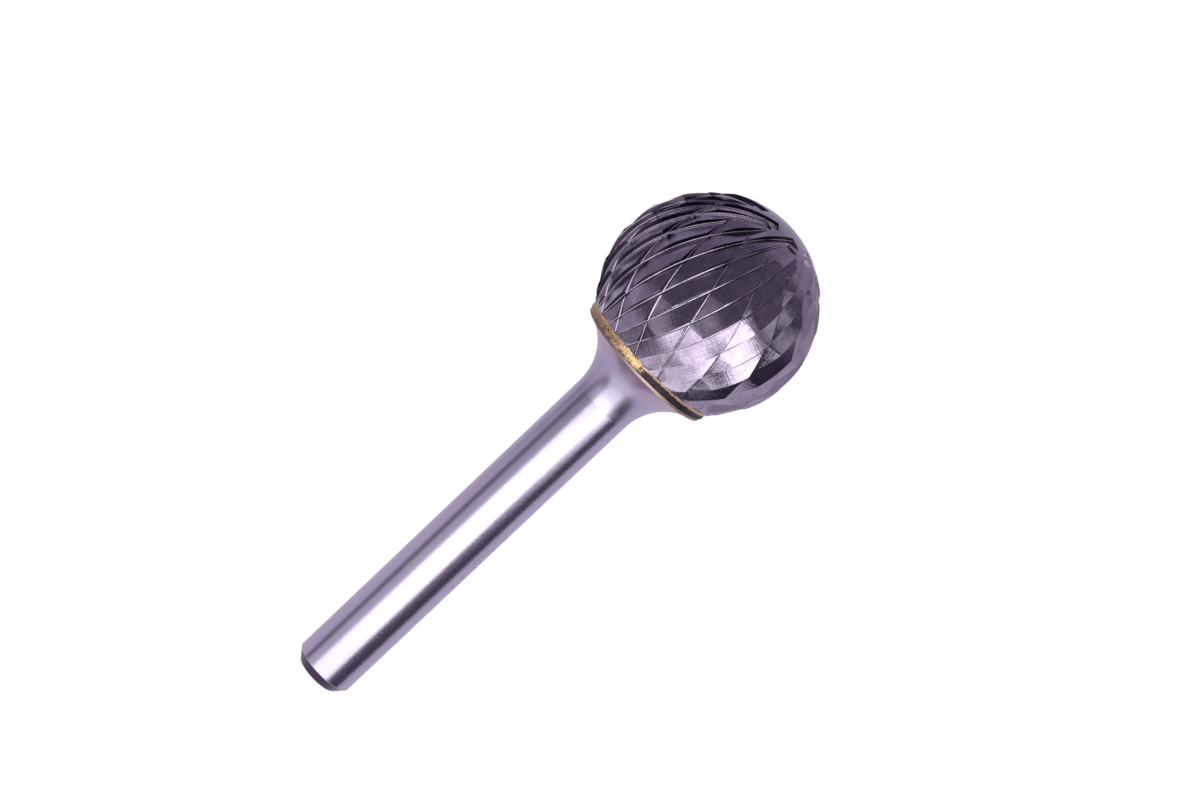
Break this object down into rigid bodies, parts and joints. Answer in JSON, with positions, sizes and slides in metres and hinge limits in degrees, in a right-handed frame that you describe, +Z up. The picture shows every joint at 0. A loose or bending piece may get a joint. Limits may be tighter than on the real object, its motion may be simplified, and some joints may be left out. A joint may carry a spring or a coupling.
{
  "type": "carbide burr",
  "caption": "Rotary burr with a ball-shaped tungsten carbide head, ground with double-cut teeth and brazed to a flared steel shank.",
  "frame": {"origin": "middle of the bounding box's base: the burr lies on the floor at Z = 0, on two cutting edges of its ball and the bevelled edge of its tail", "axes": "+Z up; +X from the tail of the shank towards the head; the burr's own axis rises towards the head by 8.30 degrees in the XZ plane"},
  "size_m": [0.0604, 0.0202, 0.0202],
  "materials": {
    "shank_steel": "turned and ground bright steel with a faint lilac tint and fine rings on the flare",
    "braze_alloy": "gold-brown silver braze with dark flux specks",
    "ground_carbide": "dark grey ground tungsten carbide with bright facets"
  },
  "bodies": {
    "root": {"shank": "shank_steel", "braze_joint": "braze_alloy", "cutting_head": "ground_carbide"}
  },
  "joints": []
}
